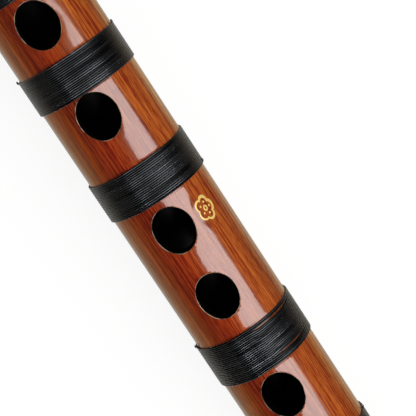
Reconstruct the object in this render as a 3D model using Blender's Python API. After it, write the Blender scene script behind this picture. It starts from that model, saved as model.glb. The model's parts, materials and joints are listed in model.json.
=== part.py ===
"""Dizi: a side-blown bamboo flute in two sections that meet at a brass slide.

The flute lies along X, head end at -X, foot end at +X, with the blow hole and the finger holes
facing +Z. The origin is on the surface that it lies on, under the middle of its length.
Distances along the tube are measured from the centre of the blow hole, towards the foot.
"""

import math

import bmesh
import bpy
import numpy as np
from mathutils import Matrix

# Sizes of the bamboo, in metres.
HEAD_REACH = 0.118  # blow hole to the outer face of the head end ring
FOOT_TAIL = 0.0323  # last outlet to the outer face of the foot end ring
HEAD_DIAMETER = 0.0214  # at the head end: it tapers evenly to the foot
FOOT_DIAMETER = 0.0208
BORE_DIAMETER = 0.0144

# The running or glue gap between a piece and what carries it.
SEAT_GAP = 0.0003

# Holes along the playing side, each centre measured from the one before it.
BLOW_HOLE_LENGTH = 0.0106
BLOW_HOLE_WIDTH = 0.0092
BLOW_HOLE_TO_MEMBRANE = 0.058
MEMBRANE_HOLE_LENGTH = 0.0086
MEMBRANE_HOLE_WIDTH = 0.0074
MEMBRANE_TO_JOINT = 0.028
JOINT_TO_HOLE_6 = 0.0299
FINGER_HOLE_LENGTH = 0.00976
FINGER_HOLE_WIDTH = 0.0081
HOLE_6_TO_5 = 0.0192
HOLE_5_TO_4 = 0.0204
HOLE_4_TO_3 = 0.0264
HOLE_3_TO_2 = 0.0156
HOLE_2_TO_1 = 0.0242

# Outlet holes near the foot: a pair underneath, then a pair on top.
OUTLET_DIAMETER = 0.0072
OUTLET_PITCH = 0.014
HOLE_1_TO_OUTLETS = 0.030
BETWEEN_OUTLET_PAIRS = 0.020

# The brass slide where the two sections meet.
COLLAR_LENGTH = 0.004
COLLAR_PROUD = 0.0004
TENON_WALL = 0.0009
TENON_REACH = 0.019  # length inside the socket
TENON_ROOT = 0.020  # length glued inside the head tube
TENON_TO_SHOULDER = 0.002  # from the tip of the tenon to the end of the socket
SOCKET_WALL = 0.0005

# Rubber seal in a groove round the tenon.
SEAL_AT = 0.009  # from the joint
SEAL_WIDTH = 0.0012
SEAL_GROOVE_DEPTH = 0.0005
SEAL_CLEARANCE = 0.0002

# End rings, which carry the flute when it lies down.
END_RING_PROUD = 0.0013  # beyond the bamboo where it is thickest
END_RING_LENGTH = 0.012
END_RING_FLANGE = 0.002
END_RING_LIP = 0.0004  # how far the mouth of the ring is wider than the bore, all round
END_RING_ROUNDING = 0.0007
SPIGOT_STEP = 0.0011  # depth that the bamboo is turned down under an end ring

# Cork in the bore, beside the blow hole.
STOPPER_LENGTH = 0.015
STOPPER_SETBACK = 0.0025  # from the edge of the blow hole to the face of the cork
STOPPER_CHAMFER = 0.0008

# Reed membrane glued over its hole.
MEMBRANE_LENGTH = 0.0150
MEMBRANE_ARC = 0.0135
MEMBRANE_THICKNESS = 0.00015

# The one bamboo node left on the tube, as a low ridge.
NODE_AT = -0.062
NODE_WIDTH = 0.005
NODE_HEIGHT = 0.00025

# Thread bindings. Each loop stands for a few turns of the fine thread, laid side by side.
LOOPS = 5
LOOP_GAP = 0.00046
LAY_THICKNESS = 0.0005
GROOVE_DEPTH = 0.0004
GROOVE_MARGIN = 0.0003
BINDING_GAP = 0.00025
BINDING_WIDTH = 0.009

# How finely round shapes are faceted.
TUBE_SIDES = 32
HOLE_SIDES = 24
LOOP_POINTS = 15
STOPPER_SIDES = 24
MEMBRANE_SIDES = 8
SHARP_EDGE = math.radians(35)  # faces that meet more steeply than this keep a crisp edge

# Where things fall once the sizes above are set. Each _AT is a distance from the blow hole.
MEMBRANE_HOLE_AT = BLOW_HOLE_TO_MEMBRANE
JOINT_AT = MEMBRANE_HOLE_AT + MEMBRANE_TO_JOINT
HOLE_6_AT = JOINT_AT + JOINT_TO_HOLE_6
HOLE_5_AT = HOLE_6_AT + HOLE_6_TO_5
HOLE_4_AT = HOLE_5_AT + HOLE_5_TO_4
HOLE_3_AT = HOLE_4_AT + HOLE_4_TO_3
HOLE_2_AT = HOLE_3_AT + HOLE_3_TO_2
HOLE_1_AT = HOLE_2_AT + HOLE_2_TO_1
REAR_OUTLET_AT = HOLE_1_AT + HOLE_1_TO_OUTLETS
FRONT_OUTLET_AT = REAR_OUTLET_AT + OUTLET_PITCH + BETWEEN_OUTLET_PAIRS
FOOT_REACH = FRONT_OUTLET_AT + OUTLET_PITCH + FOOT_TAIL
MIDDLE = (FOOT_REACH - HEAD_REACH) / 2
BORE_RADIUS = BORE_DIAMETER / 2
END_RING_RADIUS = max(HEAD_DIAMETER, FOOT_DIAMETER) / 2 + END_RING_PROUD
AXIS_HEIGHT = END_RING_RADIUS * math.cos(math.pi / TUBE_SIDES)
HALF_JOINT = SEAT_GAP / 2
TENON_RADIUS = BORE_RADIUS + TENON_WALL
SOCKET_RADIUS = TENON_RADIUS + SEAT_GAP
SOCKET_OUTSIDE = SOCKET_RADIUS + SOCKET_WALL
SOCKET_END = JOINT_AT + TENON_REACH + TENON_TO_SHOULDER
HEAD_TUBE_END = JOINT_AT - HALF_JOINT - COLLAR_LENGTH - SEAT_GAP
FOOT_TUBE_START = JOINT_AT + HALF_JOINT + COLLAR_LENGTH + SEAT_GAP

# Each binding: the place that it is measured from, the distance from there to its middle, its width.
BINDINGS = {
    "binding_head_end": (END_RING_LENGTH - HEAD_REACH, 0.0070, BINDING_WIDTH),
    "binding_head_middle": (0, -0.0420, BINDING_WIDTH),
    "binding_stopper": (0, -0.0195, BINDING_WIDTH),
    "binding_blow_hole": (0, 0.0195, BINDING_WIDTH),
    "binding_membrane": (MEMBRANE_HOLE_AT, -0.0168, BINDING_WIDTH),
    "binding_tenon": (JOINT_AT, -0.0115, BINDING_WIDTH),
    "binding_socket": (JOINT_AT, 0.0125, BINDING_WIDTH),
    "binding_holes_6_5": ((HOLE_6_AT + HOLE_5_AT) / 2, 0.0000, 0.00740),
    "binding_holes_5_4": ((HOLE_5_AT + HOLE_4_AT) / 2, 0.0011, 0.00775),
    "binding_holes_4_3": ((HOLE_4_AT + HOLE_3_AT) / 2, 0.0024, 0.00832),
    "binding_holes_2_1": ((HOLE_2_AT + HOLE_1_AT) / 2, 0.0012, 0.00941),
    "binding_hole_1": (HOLE_1_AT, 0.0174, 0.00920),
    "binding_outlets": (FRONT_OUTLET_AT, -BETWEEN_OUTLET_PAIRS / 2, 0.00800),
    "binding_foot_end": (FOOT_REACH - END_RING_LENGTH, -0.0070, BINDING_WIDTH),
}


def tube_radius(at):
    """Outer radius of the bamboo at a distance from the blow hole."""
    share = (at + HEAD_REACH) / (HEAD_REACH + FOOT_REACH)
    return (HEAD_DIAMETER + (FOOT_DIAMETER - HEAD_DIAMETER) * share) / 2


def clear_scene():
    for old in list(bpy.data.objects):
        bpy.data.objects.remove(old)


def material(name, colour, roughness, metallic=0.0):
    made = bpy.data.materials.new(name)
    made.use_nodes = True
    shader = made.node_tree.nodes["Principled BSDF"]
    shader.inputs["Base Color"].default_value = (*colour, 1.0)
    shader.inputs["Roughness"].default_value = roughness
    shader.inputs["Metallic"].default_value = metallic
    return made


def keep(name, shape, finish):
    """Turns a finished bmesh into an object that stands on the flute's axis."""
    bmesh.ops.recalc_face_normals(shape, faces=shape.faces)
    mesh = bpy.data.meshes.new(name)
    shape.to_mesh(mesh)
    shape.free()
    mesh.shade_smooth()
    mesh.set_sharp_from_angle(angle=SHARP_EDGE)
    mesh.materials.append(finish)
    made = bpy.data.objects.new(name, mesh)
    made.location = (-MIDDLE, 0, AXIS_HEIGHT)
    bpy.context.scene.collection.objects.link(made)
    return made


def turned(profile):
    """A closed profile of (distance, radius) points spun round the flute's axis, a flat side down."""
    shape = bmesh.new()
    half = math.pi / TUBE_SIDES
    points = [shape.verts.new((at, r * math.sin(half), r * math.cos(half))) for at, r in profile]
    edges = [shape.edges.new(pair) for pair in zip(points, points[1:] + points[:1])]
    bmesh.ops.spin(
        shape,
        geom=points + edges,
        cent=(0, 0, 0),
        axis=(1, 0, 0),
        angle=2 * math.pi,
        steps=TUBE_SIDES,
        use_merge=True,
    )
    return shape


def add_hole(shape, at, length, width, side):
    """An oval punch through one wall: side is 1 for the playing side, -1 for the underside."""
    depth = 2 * END_RING_RADIUS
    place = Matrix.Translation((at, 0, side * depth / 2))
    size = Matrix.Diagonal((length / 2, width / 2, 1, 1))
    bmesh.ops.create_cone(
        shape,
        cap_ends=True,
        segments=HOLE_SIDES,
        radius1=1,
        radius2=1,
        depth=depth,
        matrix=place @ size,
    )


def punch(tube, name, holes):
    """Cuts the listed holes, each (at, length, width, side), out of a tube."""
    shape = bmesh.new()
    for hole in holes:
        add_hole(shape, *hole)
    cutter = keep(name, shape, tube.data.materials[0])
    cutter.hide_render = True
    cutter.display_type = "WIRE"
    cut = tube.modifiers.new("holes", "BOOLEAN")
    cut.operation = "DIFFERENCE"
    cut.solver = "EXACT"
    cut.object = cutter


def binding_span(name):
    """The start and the width of a binding."""
    anchor, offset, width = BINDINGS[name]
    return anchor + offset - width / 2, width


def grooved_side(start, end, ridges=()):
    """The outer side of a tube from start to end, with a groove for each binding and any node ridge."""
    stops = []
    for at, width in map(binding_span, BINDINGS):
        near, far = at - GROOVE_MARGIN, at + width + GROOVE_MARGIN
        if start < near < end:
            stops.append([
                (near, tube_radius(near)),
                (near, tube_radius(near) - GROOVE_DEPTH),
                (far, tube_radius(far) - GROOVE_DEPTH),
                (far, tube_radius(far)),
            ])
    for at in ridges:
        near, far = at - NODE_WIDTH / 2, at + NODE_WIDTH / 2
        stops.append([
            (near, tube_radius(near)),
            (at, tube_radius(at) + NODE_HEIGHT),
            (far, tube_radius(far)),
        ])
    between = [point for stop in sorted(stops) for point in stop]
    return [(start, tube_radius(start)), *between, (end, tube_radius(end))]


def spigot_radius(shoulder):
    """The bamboo turned down under an end ring, from the radius that it has beside the ring."""
    return tube_radius(shoulder) - SPIGOT_STEP


def head_tube(bamboo):
    """Bamboo from the head end ring to the joint, counterbored for the tenon's root."""
    shoulder = -HEAD_REACH + END_RING_LENGTH + SEAT_GAP
    tip = -HEAD_REACH + END_RING_FLANGE + SEAT_GAP
    counterbore = TENON_RADIUS + SEAT_GAP
    counterbore_start = JOINT_AT - TENON_ROOT - SEAT_GAP
    profile = [(tip, BORE_RADIUS), (tip, spigot_radius(shoulder)), (shoulder, spigot_radius(shoulder))]
    profile += grooved_side(shoulder, HEAD_TUBE_END, ridges=[NODE_AT])
    profile += [
        (HEAD_TUBE_END, counterbore),
        (counterbore_start, counterbore),
        (counterbore_start, BORE_RADIUS),
    ]
    tube = keep("head_tube", turned(profile), bamboo)
    punch(tube, "head_punch", [
        (0, BLOW_HOLE_LENGTH, BLOW_HOLE_WIDTH, 1),
        (MEMBRANE_HOLE_AT, MEMBRANE_HOLE_LENGTH, MEMBRANE_HOLE_WIDTH, 1),
    ])


def foot_tube(bamboo):
    """Bamboo from the joint to the foot end ring, with the finger holes and outlets."""
    shoulder = FOOT_REACH - END_RING_LENGTH - SEAT_GAP
    tip = FOOT_REACH - END_RING_FLANGE - SEAT_GAP
    counterbore = SOCKET_OUTSIDE + SEAT_GAP
    counterbore_end = SOCKET_END + SEAT_GAP
    profile = grooved_side(FOOT_TUBE_START, shoulder)
    profile += [
        (shoulder, spigot_radius(shoulder)),
        (tip, spigot_radius(shoulder)),
        (tip, BORE_RADIUS),
        (counterbore_end, BORE_RADIUS),
        (counterbore_end, counterbore),
        (FOOT_TUBE_START, counterbore),
    ]
    tube = keep("foot_tube", turned(profile), bamboo)
    finger_holes = [HOLE_6_AT, HOLE_5_AT, HOLE_4_AT, HOLE_3_AT, HOLE_2_AT, HOLE_1_AT]
    holes = [(at, FINGER_HOLE_LENGTH, FINGER_HOLE_WIDTH, 1) for at in finger_holes]
    for first, side in ((REAR_OUTLET_AT, -1), (FRONT_OUTLET_AT, 1)):
        for at in (first, first + OUTLET_PITCH):
            holes.append((at, OUTLET_DIAMETER, OUTLET_DIAMETER, side))
    punch(tube, "foot_punch", holes)


def end_ring(name, outer_face, inward, ivory):
    """A turned ring with a flange over the tube's end. inward is 1 towards +X, or -1."""
    mouth = BORE_RADIUS + END_RING_LIP
    inner_face = outer_face + inward * END_RING_LENGTH
    sleeve = spigot_radius(inner_face + inward * SEAT_GAP) + SEAT_GAP
    outside, rounding = END_RING_RADIUS, END_RING_ROUNDING
    depths = [
        (0, mouth),
        (0, outside - rounding),
        (rounding, outside),
        (END_RING_LENGTH - rounding, outside),
        (END_RING_LENGTH, outside - rounding),
        (END_RING_LENGTH, sleeve),
        (END_RING_FLANGE, sleeve),
        (END_RING_FLANGE, mouth),
    ]
    keep(name, turned([(outer_face + inward * depth, radius) for depth, radius in depths]), ivory)


def collar_radius():
    return tube_radius(JOINT_AT) + COLLAR_PROUD


def tenon(brass):
    """Brass tube glued in the head section, its collar at the joint and a groove for the seal."""
    face = JOINT_AT - HALF_JOINT
    groove = JOINT_AT + SEAL_AT
    groove_half = SEAL_WIDTH / 2 + SEAL_CLEARANCE
    groove_floor = TENON_RADIUS - SEAL_GROOVE_DEPTH
    profile = [
        (JOINT_AT - TENON_ROOT, BORE_RADIUS),
        (JOINT_AT - TENON_ROOT, TENON_RADIUS),
        (face - COLLAR_LENGTH, TENON_RADIUS),
        (face - COLLAR_LENGTH, collar_radius()),
        (face, collar_radius()),
        (face, TENON_RADIUS),
        (groove - groove_half, TENON_RADIUS),
        (groove - groove_half, groove_floor),
        (groove + groove_half, groove_floor),
        (groove + groove_half, TENON_RADIUS),
        (JOINT_AT + TENON_REACH, TENON_RADIUS),
        (JOINT_AT + TENON_REACH, BORE_RADIUS),
    ]
    keep("tenon", turned(profile), brass)


def socket(brass):
    """Brass liner of the foot section's mouth, with the second collar."""
    face = JOINT_AT + HALF_JOINT
    profile = [
        (face, SOCKET_RADIUS),
        (face, collar_radius()),
        (face + COLLAR_LENGTH, collar_radius()),
        (face + COLLAR_LENGTH, SOCKET_OUTSIDE),
        (SOCKET_END, SOCKET_OUTSIDE),
        (SOCKET_END, SOCKET_RADIUS),
    ]
    keep("socket", turned(profile), brass)


def seal_ring(rubber):
    """Rubber ring between the tenon's groove and the socket's wall."""
    middle = JOINT_AT + SEAL_AT
    inside = TENON_RADIUS - SEAL_GROOVE_DEPTH + SEAL_CLEARANCE
    outside = SOCKET_RADIUS - SEAL_CLEARANCE
    near, far = middle - SEAL_WIDTH / 2, middle + SEAL_WIDTH / 2
    keep("seal_ring", turned([(near, inside), (near, outside), (far, outside), (far, inside)]), rubber)


def stopper(cork):
    """Cork pushed down the bore to just short of the blow hole."""
    face = -BLOW_HOLE_LENGTH / 2 - STOPPER_SETBACK
    shape = bmesh.new()
    bmesh.ops.create_cone(
        shape,
        cap_ends=True,
        segments=STOPPER_SIDES,
        radius1=BORE_RADIUS - SEAT_GAP,
        radius2=BORE_RADIUS - SEAT_GAP,
        depth=STOPPER_LENGTH,
        matrix=Matrix.Translation((face - STOPPER_LENGTH / 2, 0, 0)) @ Matrix.Rotation(math.pi / 2, 4, "Y"),
    )
    rims = [edge for edge in shape.edges if len(edge.link_faces[0].verts) != len(edge.link_faces[1].verts)]
    bmesh.ops.bevel(shape, geom=rims, offset=STOPPER_CHAMFER, segments=1, affect="EDGES")
    keep("stopper", shape, cork)


def membrane(reed):
    """Thin sheet that follows the tube over the membrane hole, clear of the bamboo's corners."""
    inner = tube_radius(MEMBRANE_HOLE_AT - MEMBRANE_LENGTH / 2) + SEAT_GAP
    outer = inner + MEMBRANE_THICKNESS
    half_angle = MEMBRANE_ARC / 2 / inner
    angles = list(np.linspace(-half_angle, half_angle, MEMBRANE_SIDES + 1))
    rim = [(a, inner) for a in angles] + [(a, outer) for a in reversed(angles)]
    start = MEMBRANE_HOLE_AT - MEMBRANE_LENGTH / 2
    shape = bmesh.new()
    section = [shape.verts.new((start, r * math.sin(a), r * math.cos(a))) for a, r in rim]
    face = shape.faces.new(section)
    pushed = bmesh.ops.extrude_face_region(shape, geom=[face])["geom"]
    moved = [item for item in pushed if isinstance(item, bmesh.types.BMVert)]
    bmesh.ops.translate(shape, verts=moved, vec=(MEMBRANE_LENGTH, 0, 0))
    keep("membrane", shape, reed)


def least_gap(sections):
    """The smallest distance between points of the winding that lie most of a loop apart or more."""
    flat = np.array(sections)
    least = math.inf
    for step in range(LOOP_POINTS - 1, len(flat)):
        apart = flat[step:, :, None, :] - flat[: len(flat) - step, None, :, :]
        least = min(least, float(np.linalg.norm(apart, axis=-1).min()))
    return least


def binding(name, thread):
    """Flat lays of thread wound in one unbroken helix of LOOPS loops, seated in the tube's groove."""
    start, width = binding_span(name)
    pitch = (width + LOOP_GAP) / (LOOPS + 1)
    lay = pitch - LOOP_GAP
    floor = tube_radius(start - GROOVE_MARGIN) - GROOVE_DEPTH + BINDING_GAP
    inner = floor / math.cos(math.pi / LOOP_POINTS)
    outer = inner + LAY_THICKNESS
    shape = bmesh.new()
    sections = []
    for step in range(LOOPS * LOOP_POINTS + 1):
        angle = 2 * math.pi * step / LOOP_POINTS
        at = start + pitch * step / LOOP_POINTS
        corners = [(at, inner), (at, outer), (at + lay, outer), (at + lay, inner)]
        sections.append([(x, r * math.sin(angle), r * math.cos(angle)) for x, r in corners])
    rings = [[shape.verts.new(point) for point in section] for section in sections]
    for near, far in zip(rings, rings[1:]):
        for side in range(4):
            after = (side + 1) % 4
            shape.faces.new((near[side], near[after], far[after], far[side]))
    shape.faces.new(rings[0])
    shape.faces.new(rings[-1])
    keep(name, shape, thread)
    print(f"{name}: {LOOPS} loops, least gap to itself {least_gap(sections) * 1000:.3f} mm")


def main():
    clear_scene()
    bamboo = material("lacquered_bamboo", (0.36, 0.10, 0.025), 0.12)
    ivory = material("ivory_resin", (0.78, 0.72, 0.58), 0.25)
    brass = material("brass", (0.80, 0.58, 0.25), 0.22, metallic=1.0)
    rubber = material("black_rubber", (0.02, 0.02, 0.02), 0.7)
    cork = material("cork", (0.45, 0.27, 0.13), 0.85)
    reed = material("reed_membrane", (0.80, 0.76, 0.64), 0.4)
    thread = material("black_thread", (0.012, 0.012, 0.014), 0.3)
    head_tube(bamboo)
    foot_tube(bamboo)
    end_ring("head_end_ring", -HEAD_REACH, 1, ivory)
    end_ring("foot_end_ring", FOOT_REACH, -1, ivory)
    tenon(brass)
    socket(brass)
    seal_ring(rubber)
    stopper(cork)
    membrane(reed)
    for name in BINDINGS:
        binding(name, thread)


main()
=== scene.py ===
# %% [markdown]
# A dizi is a side-blown flute made of one bamboo stem, here in two sections that meet at a brass slide.
# This lesson dresses the plain frame of the flute in its real finish: lacquered bamboo with oval finger
# holes, bindings of fine black thread, turned end rings, and a gilt blossom beside the third hole.
# Every new piece takes its place from the frame, so nothing has to be fitted by eye.

# %% Load the frame
import json
import math

import bpy
from mathutils import Matrix, Vector, noise


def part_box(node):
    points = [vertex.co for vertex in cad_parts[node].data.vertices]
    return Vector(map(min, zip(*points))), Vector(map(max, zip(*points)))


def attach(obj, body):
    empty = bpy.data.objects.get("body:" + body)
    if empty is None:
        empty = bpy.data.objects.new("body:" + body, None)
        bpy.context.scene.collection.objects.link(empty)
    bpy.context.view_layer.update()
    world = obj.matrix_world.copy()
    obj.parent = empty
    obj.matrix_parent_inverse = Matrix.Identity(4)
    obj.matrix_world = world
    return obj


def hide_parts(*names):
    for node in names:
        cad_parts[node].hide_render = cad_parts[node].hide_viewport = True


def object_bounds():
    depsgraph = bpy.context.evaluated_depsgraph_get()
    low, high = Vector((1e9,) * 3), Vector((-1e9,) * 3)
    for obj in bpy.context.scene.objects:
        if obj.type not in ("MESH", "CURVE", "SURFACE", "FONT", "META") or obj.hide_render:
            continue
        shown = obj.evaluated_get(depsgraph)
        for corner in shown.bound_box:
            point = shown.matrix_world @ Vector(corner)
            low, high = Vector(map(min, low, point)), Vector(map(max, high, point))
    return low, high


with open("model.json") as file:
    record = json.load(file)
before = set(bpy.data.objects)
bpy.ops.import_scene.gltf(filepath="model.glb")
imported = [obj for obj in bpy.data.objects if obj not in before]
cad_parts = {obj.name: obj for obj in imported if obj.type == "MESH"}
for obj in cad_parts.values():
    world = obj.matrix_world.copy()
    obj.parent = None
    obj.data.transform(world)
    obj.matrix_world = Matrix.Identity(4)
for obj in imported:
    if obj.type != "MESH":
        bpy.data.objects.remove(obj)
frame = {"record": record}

frame_box = [list(corner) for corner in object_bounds()]
print("frame", [round(high - low, 4) for low, high in zip(*frame_box)])

# %% [markdown]
# The frame says where the flute's axis is and where each hole is. The tube is a cone so slight that the
# eye takes it for a cylinder: 21.4 mm thick at the head and 20.8 mm at the foot. One function gives its
# radius anywhere, and everything that touches the tube asks that function.

# %% Measure the frame
MM = 0.001
HEAD_RADIUS = 10.7 * MM
FOOT_RADIUS = 10.4 * MM
BORE_RADIUS = 7.2 * MM
HEAD_FACE = frame_box[0][0]
FOOT_FACE = frame_box[1][0]
AXIS_HEIGHT = (frame_box[0][2] + frame_box[1][2]) / 2
openings = {item["name"]: item["box_m"] for item in frame["record"]["physics"]["openings"]}


def hole_at(name):
    """The place of a hole along the flute, from the box that the frame gives for it."""
    low, high = openings[name]
    return (low[0] + high[0]) / 2


def tube_radius(x):
    """The outer radius of the bamboo at a place along the flute."""
    share = (x - HEAD_FACE) / (FOOT_FACE - HEAD_FACE)
    return HEAD_RADIUS + (FOOT_RADIUS - HEAD_RADIUS) * share


def round_axis(x, reach, angle):
    """A point at a reach from the axis. The angle is measured from the playing side towards +Y."""
    return Vector((x, reach * math.sin(angle), AXIS_HEIGHT + reach * math.cos(angle)))


finger_holes = [hole_at(f"finger_hole_{number}") for number in (6, 5, 4, 3, 2, 1)]
print("finger holes at", [round(x, 4) for x in finger_holes])

# %% [markdown]
# The camera looks down on the holes from 0.3 m, with the flute running from the upper left to the lower
# right. It leans 12 degrees towards the foot and is rolled until the flute lies across the frame. Its
# turns are written about the flute's own axes, so each of them can be changed without the others.

# %% Place the camera
CAMERA_PLACE = (0.01318, 0.04597, 0.31144)
CAMERA_ROUND_FLUTE = math.radians(-7.5)
CAMERA_LEAN = math.radians(-11.894)
CAMERA_ROLL = math.radians(56.6992)
CAMERA_LENS = 134.8
SENSOR_WIDTH = 36

bpy.ops.object.camera_add(location=CAMERA_PLACE)
camera = bpy.context.active_object
camera.name = "camera"
camera_turns = (
    Matrix.Rotation(CAMERA_ROUND_FLUTE, 4, "X")
    @ Matrix.Rotation(CAMERA_LEAN, 4, "Y")
    @ Matrix.Rotation(CAMERA_ROLL, 4, "Z")
)
camera.rotation_euler = camera_turns.to_euler()
camera.data.lens = CAMERA_LENS
camera.data.sensor_width = SENSOR_WIDTH
bpy.context.scene.camera = camera
bpy.context.scene.view_settings.view_transform = "Standard"
print("camera at", CAMERA_PLACE, "lens", CAMERA_LENS)

# %% [markdown]
# Node trees are built by a small helper, so that each material below reads as a list of its nodes. An
# input can be given as a value or as another node's socket, and in the second case the two are linked.
# The other helpers are short names for the nodes that most materials need.

# %% Helpers for materials
def add_node(tree, kind, inputs=None, **settings):
    """Adds a node, sets it up, and gives or links its inputs."""
    made = tree.nodes.new(kind)
    for key, value in settings.items():
        setattr(made, key, value)
    for key, value in (inputs or {}).items():
        if isinstance(value, bpy.types.NodeSocket):
            tree.links.new(value, made.inputs[key])
        else:
            made.inputs[key].default_value = value
    return made


def maths(tree, operation, first, second=0.0, clamp=False):
    inputs = {0: first, 1: second}
    return add_node(tree, "ShaderNodeMath", inputs, operation=operation, use_clamp=clamp).outputs[0]


def times(tree, first, second):
    return maths(tree, "MULTIPLY", first, second)


def plus(tree, first, second):
    return maths(tree, "ADD", first, second)


def mix_colour(tree, factor, first, second, blend="MIX"):
    inputs = {0: factor, 6: first, 7: second}
    return add_node(tree, "ShaderNodeMix", inputs, data_type="RGBA", blend_type=blend).outputs[2]


def tinted(tree, colour, tint):
    return mix_colour(tree, 1.0, colour, tint, "MULTIPLY")


def mix_shaders(tree, factor, first, second):
    return add_node(tree, "ShaderNodeMixShader", {0: factor, 1: first, 2: second}).outputs[0]


def ramp(tree, value, stops, smooth=False):
    """A colour ramp with (place, colour or grey) stops."""
    made = add_node(tree, "ShaderNodeValToRGB", {0: value})
    band = made.color_ramp
    band.interpolation = "EASE" if smooth else "LINEAR"
    while len(band.elements) < len(stops):
        band.elements.new(0.5)
    for element, (place, colour) in zip(band.elements, stops):
        element.position = place
        element.color = (*colour, 1) if isinstance(colour, tuple) else (colour, colour, colour, 1)
    return made.outputs[0]


def place_on_piece(tree):
    return add_node(tree, "ShaderNodeTexCoord").outputs["Object"]


def parted(tree, vector):
    """The X, Y and Z of a vector, each a socket of its own."""
    return add_node(tree, "ShaderNodeSeparateXYZ", {0: vector}).outputs


def spots(tree, scale, detail):
    """Noise that is fixed to the piece."""
    inputs = {"Vector": place_on_piece(tree), "Scale": scale, "Detail": detail}
    return add_node(tree, "ShaderNodeTexNoise", inputs).outputs["Fac"]


def attribute(tree, name):
    return add_node(tree, "ShaderNodeAttribute", attribute_name=name).outputs["Fac"]


def bumped(tree, height, distance, strength):
    inputs = {"Height": height, "Distance": distance, "Strength": strength}
    return add_node(tree, "ShaderNodeBump", inputs).outputs[0]


def ray_kinds(tree):
    """The light path, and a mask of the rays that see a thing directly or through clear material."""
    path = add_node(tree, "ShaderNodeLightPath").outputs
    return path, maths(tree, "MAXIMUM", path["Is Camera Ray"], path["Is Transmission Ray"])


def new_material(name):
    """A material with only its node tree, ready for its own shader."""
    made = bpy.data.materials.new(name)
    made.use_nodes = True
    made.node_tree.nodes.clear()
    return made, made.node_tree


def finish_material(tree, shader):
    add_node(tree, "ShaderNodeOutputMaterial", {0: shader})


def finish_principled(tree, inputs):
    """Ends a material with the Principled shader."""
    finish_material(tree, add_node(tree, "ShaderNodeBsdfPrincipled", inputs).outputs[0])


print("helpers ready")

# %% [markdown]
# The flute lies on white paper. For the camera, and for anything that shows it through clear material, the
# paper is white almost by itself, and only a small share of its brightness comes from the lamp: that share
# carries the soft shadow. Light that has bounced off the flute meets it as plain pale paper.
# A dark flag lies on the lamp's side of a product photograph to deepen that edge of a glossy object. It
# is kept here as a ramp across the paper that only mirror reflections see.

# %% Lay the floor
PAPER_SIZE = 8.0
PAPER = (0.85, 0.85, 0.85)
PAPER_GLOW = 0.88
SHADOW_SHARE = 0.18
FLAG_REACH = 60 * MM
MIRRORED_PAPER = [
    (-60 * MM, (0.22, 0.19, 0.15)),
    (-40 * MM, (0.29, 0.25, 0.20)),
    (-20 * MM, (0.50, 0.46, 0.41)),
    (0 * MM, (0.58, 0.55, 0.50)),
    (20 * MM, (0.40, 0.33, 0.24)),
    (28 * MM, (0.20, 0.14, 0.08)),
    (44 * MM, (0.05, 0.03, 0.02)),
]

bpy.ops.object.select_all(action="DESELECT")
bpy.ops.mesh.primitive_plane_add(size=PAPER_SIZE)
floor = bpy.context.active_object
floor.name = "floor"

paper, tree = new_material("paper")
lit = add_node(tree, "ShaderNodeBsdfDiffuse", {"Color": (*PAPER, 1)}).outputs[0]
glow = add_node(tree, "ShaderNodeEmission", {"Strength": PAPER_GLOW}).outputs[0]
shaded = add_node(tree, "ShaderNodeMixShader", {0: SHADOW_SHARE, 2: lit}).outputs[0]
white = add_node(tree, "ShaderNodeAddShader", {0: glow, 1: shaded}).outputs[0]
across = maths(tree, "DIVIDE", parted(tree, place_on_piece(tree))["Y"], 2 * FLAG_REACH)
across = maths(tree, "ADD", across, 0.5, True)
dimming = ramp(tree, across, [(0.5 + 0.5 * y / FLAG_REACH, tone) for y, tone in MIRRORED_PAPER])
mirrored = add_node(tree, "ShaderNodeEmission", {"Color": dimming}).outputs[0]
path, seen = ray_kinds(tree)
bounced = mix_shaders(tree, path["Is Glossy Ray"], lit, mirrored)
finish_material(tree, mix_shaders(tree, seen, bounced, white))
floor.data.materials.append(paper)
print("floor laid")

# %% [markdown]
# One large soft lamp, an oval half a metre long held over one side of the flute, gives the broad band of
# light that runs along the lacquer. The edges of the band are the lamp's own edges in the mirror, so its
# size, distance and tilt were worked out from where the band begins and ends round the tube. The room
# around it is dim and grey, brighter near the horizon, where the white surroundings of a studio table
# would be. Matt surfaces get an even grey fill from it instead.

# %% Hang the lamp and light the room
LAMP_DISTANCE = 0.45
LAMP_ROUND_FLUTE = math.radians(32.0)
LAMP_ALONG = math.radians(14.5)
LAMP_TURN = math.radians(107)
LAMP_LENGTH = 0.50
LAMP_WIDTH = 0.265
LAMP_WATTS = 1.34
LAMP_MIDDLE = 0.077
ROOM_FILL = 0.45
ROOM_LOW = 0.07
ROOM_DARK = 0.03
HORIZON_HEIGHT = 0.22

towards_lamp = Vector((
    math.sin(LAMP_ALONG),
    math.cos(LAMP_ALONG) * math.sin(LAMP_ROUND_FLUTE),
    math.cos(LAMP_ALONG) * math.cos(LAMP_ROUND_FLUTE),
))
level = (Vector((1, 0, 0)) - towards_lamp * towards_lamp.x).normalized()
upward = towards_lamp.cross(level)
long_side = level * math.cos(LAMP_TURN) + upward * math.sin(LAMP_TURN)
short_side = towards_lamp.cross(long_side)
lamp_place = Vector((LAMP_MIDDLE, 0, AXIS_HEIGHT)) + towards_lamp * LAMP_DISTANCE
bpy.ops.object.light_add(type="AREA", location=lamp_place)
lamp = bpy.context.active_object
lamp.name = "soft_lamp"
lamp.rotation_euler = Matrix((long_side, short_side, towards_lamp)).transposed().to_euler()
lamp.data.shape = "ELLIPSE"
lamp.data.size = LAMP_LENGTH
lamp.data.size_y = LAMP_WIDTH
lamp.data.energy = LAMP_WATTS

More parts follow.
